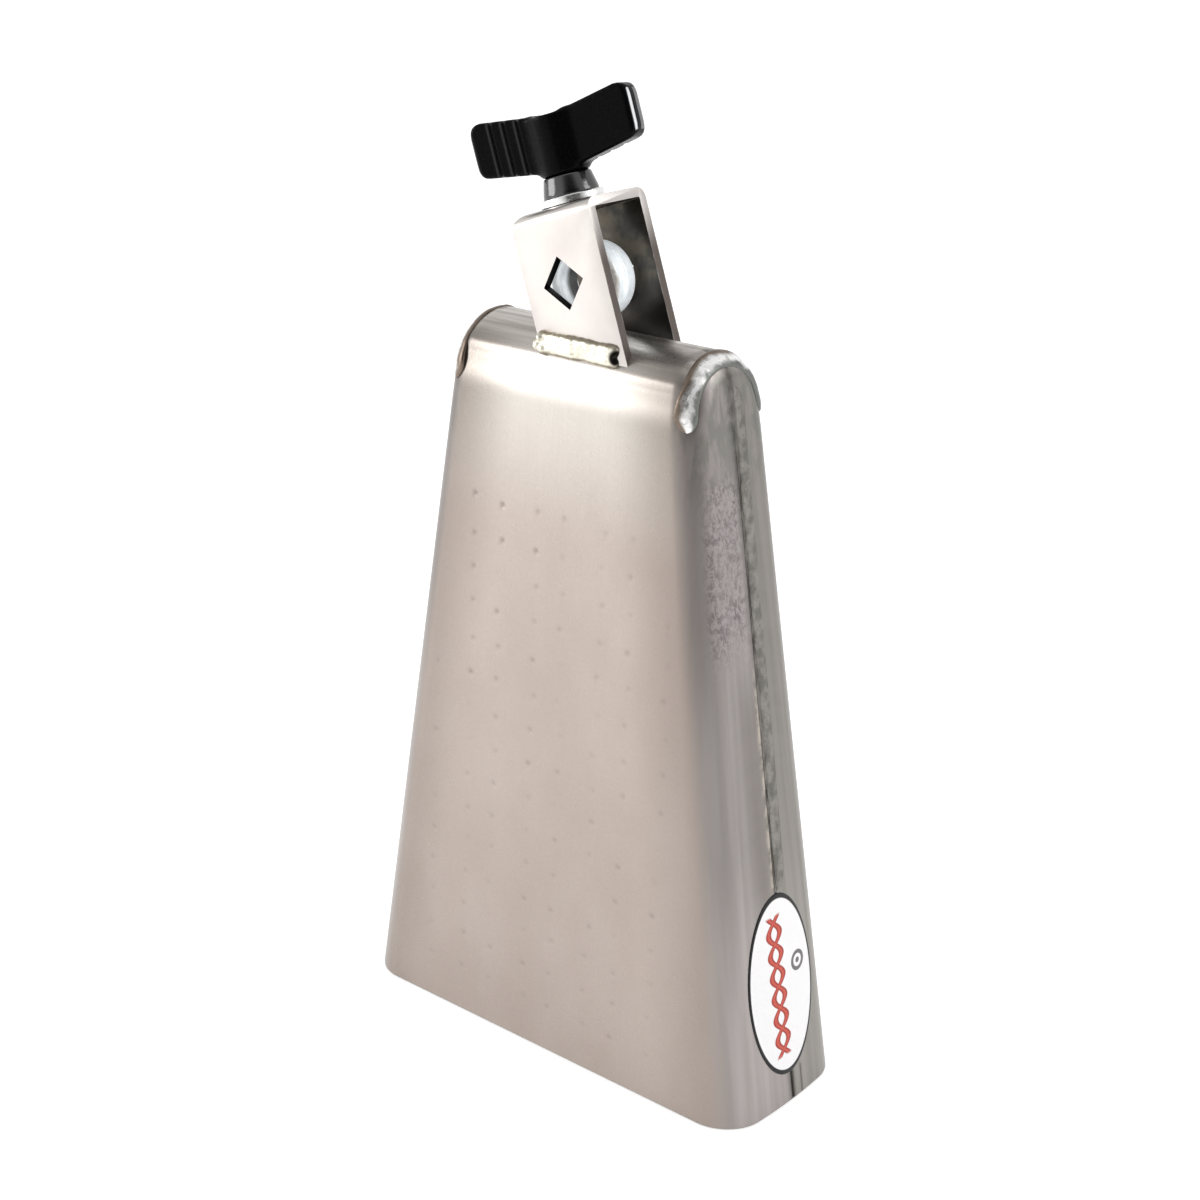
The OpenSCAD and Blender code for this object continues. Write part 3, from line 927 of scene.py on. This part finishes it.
def dress_bell():
    look = Look("bell_steel", (0.6, 0.52, 0.46), 0.34)
    z, across, side = look.axis(2), look.attribute("across"), look.attribute("side")
    brush = look.noise(0.5, (1, 50, 30), 3.0)
    cloud = look.noise(26, (1, 1, 1.6), 3.0)
    grain = look.noise(0.45, (1, 1, 1.5), 3.0)

    front = look.mix(look.span(cloud, 0.3, 0.7), (0.395, 0.335, 0.30), (0.425, 0.365, 0.33))
    # Lighter towards the fold: a painted highlight.
    front = look.mix(look.span(z, 146, 190), front, (0.56, 0.525, 0.485))
    # Painted shade towards the ends.
    front = look.mix(look.times(look.attribute("near_end"), 0.46), front, (0.17, 0.14, 0.12))
    # Painted shade on the upper side of each dent.
    front = look.mix(look.times(look.attribute("dent_shade"), 0.62), front, (0.16, 0.13, 0.115))
    flank, roughened = dress_flank(look, z, across, side)
    color = look.mix(side, front, flank)
    # Painted shade along the corners.
    color = look.mix(look.times(look.attribute("corner"), 0.45), color, (0.12, 0.10, 0.09))

    scored = look.noise(1.3, (35, 1, 1), 3.0)
    crown = look.mix(look.span(scored, 0.35, 0.65), (0.46, 0.42, 0.385), (0.68, 0.64, 0.60))
    # The crown darkens in clouds towards its right end.
    cloudy = look.span(look.noise(6), 0.3, 0.6, 0.2, 0.6)
    crown_darkening = look.times(look.span(look.axis(0), 20, 31), cloudy)
    crown = look.mix(crown_darkening, crown, (0.20, 0.175, 0.155))
    color = look.mix(look.span(z, FOLD_Z + 8.5, FOLD_Z + 13.0), color, crown)

    # Painted shade in the seam's groove.
    broken = look.span(look.noise(2.5), 0.3, 0.6, 0.45, 0.95)
    color = look.mix(look.times(look.attribute("groove"), broken), color, (0.07, 0.066, 0.06))
    # Painted highlight on the edge beside the seam's groove.
    broken = look.span(look.noise(2.2, (1, 1, 1.6)), 0.36, 0.62, 0.1, 0.95)
    color = look.mix(look.times(look.attribute("ridge"), broken), color, (0.50, 0.45, 0.38))
    color = look.mix(look.attribute("foot"), color, (0.012, 0.011, 0.010))
    color = look.mix(look.span(brush, 0.35, 0.7, 0.0, 0.07), color, (0.34, 0.30, 0.27))
    color = look.mix(look.attribute("inside"), color, (0.30, 0.28, 0.26))
    look.set("Base Color", color)
    rough = look.span(grain, 0.3, 0.7, 0.27, 0.33)
    look.set("Roughness", look.math("ADD", rough, look.times(side, 0.04)))
    look.bump(brush, 0.004, 0.6)
    look.bump(grain, 0.006, 0.6)
    look.bump(roughened, 0.25, 0.8)
    look.bump(look.noise(9, (1, 1, 1.5)), 0.05, 0.5)
    look.wear("bell_sheet")


def dress_welds():
    """Crown beads: crest is -1 at the inner edge and 1 at the outer. Seam beads are duller."""
    look = Look("ground_weld", (0.5, 0.47, 0.44), 0.3)
    grain = look.noise(0.7, (1, 1, 1), 4.0)
    blotch = look.noise(3.5, (1, 1, 1), 3.0)
    crest, seam = look.attribute("crest"), look.attribute("seam")
    wander = look.math("MULTIPLY_ADD", look.noise(4), 1.1, look.math("SUBTRACT", crest, 0.55))
    outer = look.span(wander, 0.05, 0.6)
    inner = look.span(wander, -0.25, -0.75)
    # The near-white middle of the crown beads is partly bright ground metal and partly a painted
    # highlight along the crest; their edges are darker brown outside and grey-green inside.
    color = look.mix(look.span(blotch, 0.34, 0.5), (0.62, 0.61, 0.59), (0.98, 0.975, 0.965))
    color = look.mix(outer, color, (0.19, 0.15, 0.12))
    color = look.mix(inner, color, (0.16, 0.165, 0.155))
    dull = look.mix(look.span(blotch, 0.35, 0.65), (0.13, 0.125, 0.112), (0.225, 0.212, 0.195))
    color = look.mix(seam, color, dull)
    color = look.mix(look.span(grain, 0.55, 0.75, 0.0, 0.6), color, (0.12, 0.115, 0.10))
    look.set("Base Color", color)
    bright = look.times(look.span(wander, 0.1, -0.1), look.span(wander, -0.6, -0.3))
    bright = look.times(bright, look.math("SUBTRACT", 1.0, seam))
    look.set("Metallic", look.span(bright, 0.0, 1.0, 1.0, 0.5))
    look.set("Roughness", look.span(grain, 0.3, 0.7, 0.26, 0.42))
    look.bump(grain, 0.06, 0.7)
    look.wear("left_crown_bead", "right_crown_bead", "left_seam_bead", "right_seam_bead")

    look = Look("foot_weld", (0.8, 0.77, 0.68), 0.36)
    grain = look.noise(0.9, (1, 1, 1), 4.0)
    z = look.math("MULTIPLY_ADD", look.noise(2.5), 1.2, look.math("SUBTRACT", look.axis(2), 0.6))
    # Painted shade along the bead's upper and lower edges, where it meets the metal.
    rim = look.math("MAXIMUM", look.span(z, 197.5, 196.9), look.span(z, 201.3, 202.0))
    color = look.mix(look.span(grain, 0.55, 0.72), (0.76, 0.725, 0.62), (0.40, 0.37, 0.30))
    color = look.mix(look.times(rim, 0.75), color, (0.17, 0.135, 0.085))
    # Painted shade in the pit.
    color = look.mix(look.attribute("pit"), color, (0.02, 0.018, 0.015))
    look.set("Base Color", color)
    look.set("Roughness", look.span(grain, 0.3, 0.7, 0.3, 0.5))
    look.bump(grain, 0.05, 0.6)
    look.wear("front_foot_bead", "rear_foot_bead")


def dress_bracket():
    look = Look("bracket_plating", (0.9, 0.87, 0.85), 0.32)
    y, z = look.axis(1), look.axis(2)
    facing = look.add("ShaderNodeNewGeometry").outputs["True Normal"]
    end_on = look.vector("DOT_PRODUCT", facing, tuple(clamp_frame.col[0][:3]))
    slant = look.math("ABSOLUTE", end_on)
    sheared = look.span(slant, 0.6, 0.8)
    flat = look.math("SUBTRACT", 1.0, sheared)
    # The inside of the channel takes painted shade below.
    inner = look.times(look.span(look.math("ABSOLUTE", y), 9.2, 8.5), flat)
    cloud = look.noise(9, (1, 1, 1), 3.0)
    fine = look.noise(0.35, (1, 1, 1), 3.0)
    color = look.mix(look.span(cloud, 0.3, 0.7), (0.62, 0.57, 0.55), (0.64, 0.61, 0.57))
    edge = look.mix(look.span(z, 222, 236), (0.12, 0.10, 0.09), (0.52, 0.49, 0.47))
    color = look.mix(sheared, color, edge)
    # Painted shade inside the channel: mottled dark brown, near black lower down.
    shade_mottle = look.span(look.noise(5), 0.38, 0.66)
    mottled_shade = look.mix(shade_mottle, (0.010, 0.008, 0.005), (0.088, 0.068, 0.043))
    dull = look.mix(look.span(z, 206, 222), (0.003, 0.003, 0.002), mottled_shade)
    color = look.mix(inner, color, dull)
    rubbed = look.times(look.edges(0.5), look.span(look.noise(2), 0.4, 0.6, 0.05, 0.4))
    color = look.mix(rubbed, color, (0.80, 0.78, 0.75))

    # Painted shade on the walls of the rod holes.
    on_plane = look.add("ShaderNodeCombineXYZ", {"X": look.axis(0), "Z": z}).outputs[0]
    from_rod = look.vector("DISTANCE", on_plane, (ROD[0], 0, ROD[2]))
    hole_walls = look.times(look.span(slant, 0.6, 0.66), look.span(slant, 0.82, 0.76))
    hole_walls = look.times(hole_walls, look.span(from_rod, 8.5, 7.8))
    color = look.mix(hole_walls, color, (0.012, 0.011, 0.010))
    look.set("Base Color", color)
    look.set("Roughness", look.span(fine, 0.3, 0.7, 0.28, 0.38))
    look.bump(fine, 0.01, 0.4)
    look.wear("bracket_channel")


def dress_eye_bolt():
    """Bright plating with a faint painted glow, and painted shade on the ring's front and deep in
    its hole.
    """
    look = Look("bolt_plating", (0.8, 0.84, 0.87), 0.28, metallic=0.25)
    cloud = look.noise(2.5, (1, 1, 1), 4.0)
    color = look.mix(look.span(cloud, 0.35, 0.7), (0.93, 0.97, 0.99), (0.74, 0.80, 0.84))
    # Painted shade on the ring's front face.
    ring_front_shading = look.times(look.attribute("ring_front_shade"), look.span(look.noise(3), 0.35, 0.6, 0.35, 0.8))
    color = look.mix(ring_front_shading, color, (0.30, 0.265, 0.22))
    # Painted shade deep in the hole.
    color = look.mix(look.attribute("bore"), color, (0.03, 0.03, 0.032))
    look.set("Base Color", color)
    # A faint glow of its own: painted light that keeps the plating bright inside the bracket.
    look.set("Emission Color", color)
    look.set("Emission Strength", 0.36)
    look.set("Metallic", look.span(look.attribute("bore"), 0, 1, 0.25, 0.0))
    look.set("Roughness", look.span(cloud, 0.3, 0.7, 0.26, 0.40))
    look.bump(cloud, 0.05, 0.5)
    look.wear("eye_bolt_forged")


def dress_turned(name, color, roughness, smoothest, roughest, piece):
    """Turned and plated metal with fine marks."""
    look = Look(name, color, roughness)
    fine = look.noise(0.8, (1, 1, 1), 3.0)
    look.set("Roughness", look.span(fine, 0.3, 0.7, smoothest, roughest))
    look.bump(fine, 0.02, 0.4)
    look.wear(piece)


def dress_grip():
    """Black plastic, with dust and a painted sheen in the ribs and at one rim, and a painted
    highlight at the other.
    """
    look = Look("grip_plastic", (0.0035, 0.0035, 0.004), 0.24, metallic=0.0)
    fine = look.noise(0.5, (1, 1, 1), 3.0)
    look.set("Specular IOR Level", 0.05)
    look.set("Roughness", look.span(fine, 0.3, 0.7, 0.18, 0.3))
    color = look.mix(look.span(fine, 0.4, 0.7), (0.002, 0.002, 0.0023), (0.0035, 0.0035, 0.004))
    # Partly dust, partly painted sheen at one end and along the ribs.
    color = look.mix(look.times(look.attribute("dust_and_sheen"), 0.8), color, (0.24, 0.24, 0.245))
    # Painted highlight along the other end.
    color = look.mix(look.attribute("rim_highlight"), color, (0.85, 0.86, 0.87))
    look.set("Base Color", color)
    look.bump(fine, 0.006, 0.3)
    look.bump(look.noise(6), 0.06, 0.3)
    look.wear("grip_moulded")


RIBBON_Y = -1.6
RIBBON_SWING = 2.4
RIBBON_TWIST = 0.52  # radians a millimetre
RIBBON_HALF = 19.5
RING_Y = 7.6
RING_Z = 4.0


def dress_label():
    """White oval with a black rim, a plaited red ribbon and a plain grey ring."""
    look = Look("label_film", (0.9, 0.9, 0.9), 0.3, metallic=0.0)
    y = look.axis(1)
    z = look.math("SUBTRACT", look.axis(2), LABEL_Z)

    def reach(across, up):
        return look.math("SQRT", look.math("ADD", look.times(across, across), look.times(up, up)))

    def plait(width):
        """Two strands of a half width, half a wave apart."""
        strands = []
        for phase in (0.0, math.pi):
            swing = look.math("SINE", look.math("MULTIPLY_ADD", z, RIBBON_TWIST, phase))
            middle = look.math("MULTIPLY_ADD", swing, RIBBON_SWING, RIBBON_Y)
            away = look.math("ABSOLUTE", look.math("SUBTRACT", y, middle))
            strands.append(look.span(away, width + 0.35, width))
        extent = look.span(look.math("ABSOLUTE", z), RIBBON_HALF + 1, RIBBON_HALF)
        return look.times(look.math("MAXIMUM", *strands), extent)

    oval = reach(look.math("DIVIDE", y, LABEL_W / 2), look.math("DIVIDE", z, LABEL_H / 2))
    dot = reach(look.math("SUBTRACT", y, RING_Y), look.math("SUBTRACT", z, RING_Z))
    ring = look.times(look.span(dot, 3.0, 2.8), look.span(dot, 1.7, 1.9))
    speck = look.noise(0.6)
    color = look.mix(look.span(speck, 0.4, 0.7), (0.93, 0.92, 0.92), (0.86, 0.85, 0.86))
    color = look.mix(plait(0.95), color, (0.36, 0.022, 0.014))
    color = look.mix(plait(0.35), color, (0.58, 0.09, 0.06))
    ring = look.math("MAXIMUM", ring, look.span(dot, 0.9, 0.7))
    color = look.mix(ring, color, (0.16, 0.15, 0.16))
    color = look.mix(look.span(oval, 0.938, 0.952), color, (0.004, 0.004, 0.005))
    look.set("Base Color", color)
    look.set("Roughness", look.span(speck, 0.3, 0.7, 0.22, 0.36))
    look.set("Coat Weight", 0.08)
    look.set("Specular IOR Level", 0.2)
    look.bump(speck, 0.01, 0.3)
    look.wear("label_film")


dress_bell()
dress_welds()
dress_bracket()
dress_eye_bolt()
dress_turned("washer_plating", (0.86, 0.86, 0.85), 0.25, 0.18, 0.34, "washer_turned")
dress_turned("insert_chrome", (0.10, 0.098, 0.10), 0.14, 0.08, 0.2, "insert_turned")
dress_grip()
dress_label()

# ---------------------------------------------------------------- stage, light and camera

CAMERA_AZIMUTH = math.radians(40.18)
CAMERA_ELEVATION = math.radians(21.0)
CAMERA_ROLL = math.radians(0.45)
CAMERA_TARGET = (-0.0274, 0.0328, 0.1112)
CAMERA_DISTANCE = 0.6137
CAMERA_BACK = (
    math.sin(CAMERA_AZIMUTH) * math.cos(CAMERA_ELEVATION),
    -math.cos(CAMERA_AZIMUTH) * math.cos(CAMERA_ELEVATION),
    math.sin(CAMERA_ELEVATION),
)


FLOOR_HALF = 40.0
FLOOR_DROP = 0.0002  # below the rim, so that the two don't touch
FLOOR_GLOW = 0.5
LENS_MM = 63.2
SENSOR_MM = 36
# Area lights: place, target and size in metres, power in watts
LIGHTS = {
    "key": ((-0.84, -0.64, 0.42), (0, 0, 0.16), (0.6, 0.5), 3.9),
    "fill": ((1.2, 0.6, 0.9), (0, 0, 0.15), (0.6, 0.9), 5),
}


def make_floor():
    """Large pale plane just under the rim, lit from within by FLOOR_GLOW."""
    size = FLOOR_HALF
    mesh = bpy.data.meshes.new("floor")
    corners = [(x * size, y * size, 0) for x, y in ((-1, -1), (1, -1), (1, 1), (-1, 1))]
    mesh.from_pydata(corners, [], [(0, 1, 2, 3)])
    floor = bpy.data.objects.new("floor", mesh)
    floor.location.z = -FLOOR_DROP
    bpy.context.scene.collection.objects.link(floor)
    look = Look("floor_paint", (0.9, 0.9, 0.9), 0.6, metallic=0.0)
    mottle = look.noise(300, (1, 1, 1), 2.0)
    color = look.mix(mottle, (0.89, 0.89, 0.89), (0.92, 0.92, 0.92))
    look.set("Base Color", color)
    look.set("Emission Color", (1, 1, 1, 1))
    look.set("Emission Strength", FLOOR_GLOW)
    look.wear("floor")


def make_light(name, place, target, size, watts):
    lamp = bpy.data.lights.new(name, "AREA")
    lamp.shape, lamp.size, lamp.size_y = "RECTANGLE", *size
    lamp.energy = watts
    light = bpy.data.objects.new(name, lamp)
    light.location = place
    aim = Vector(target) - Vector(place)
    light.rotation_euler = aim.to_track_quat("-Z", "Y").to_euler()
    bpy.context.scene.collection.objects.link(light)


def make_world():
    """Pale studio: bright round the horizon, duller overhead, with a dark card behind the
    camera. The camera itself sees it as plain white."""
    world = bpy.data.worlds.new("studio")
    bpy.context.scene.world = world
    world.use_nodes = True
    nodes = Nodes(world.node_tree)
    way = nodes.add("ShaderNodeTexCoord").outputs["Generated"]
    up = nodes.add("ShaderNodeSeparateXYZ", {"Vector": way}).outputs[2]
    glow = nodes.span(up, 0.1, 0.8, 1.0, 0.75)
    shade = nodes.span(nodes.vector("DOT_PRODUCT", way, CAMERA_BACK), 0.72, 0.95, 1.0, 0.08)
    seen = nodes.add("ShaderNodeLightPath").outputs["Is Camera Ray"]
    strength = nodes.math("MAXIMUM", nodes.times(glow, shade), seen)
    ground = world.node_tree.nodes["Background"]
    ground.inputs["Color"].default_value = (1, 1, 1, 1)
    nodes.feed(ground.inputs["Strength"], strength)


def make_camera():
    """Camera at the photograph's viewing angle: azimuth, elevation and roll round a target."""
    back = Vector(CAMERA_BACK)
    turn = back.to_track_quat("Z", "Y") @ Matrix.Rotation(CAMERA_ROLL, 3, "Z").to_quaternion()
    lens = bpy.data.cameras.new("camera")
    lens.lens, lens.sensor_width = LENS_MM, SENSOR_MM
    lens.clip_start, lens.clip_end = 0.01, 100
    camera = bpy.data.objects.new("camera", lens)
    camera.location = Vector(CAMERA_TARGET) + back * CAMERA_DISTANCE
    camera.rotation_euler = turn.to_euler()
    bpy.context.scene.collection.objects.link(camera)
    bpy.context.scene.camera = camera


make_floor()
make_world()
for lamp_name, settings in LIGHTS.items():
    make_light(lamp_name, *settings)
make_camera()
bpy.context.scene.view_settings.view_transform = "Standard"
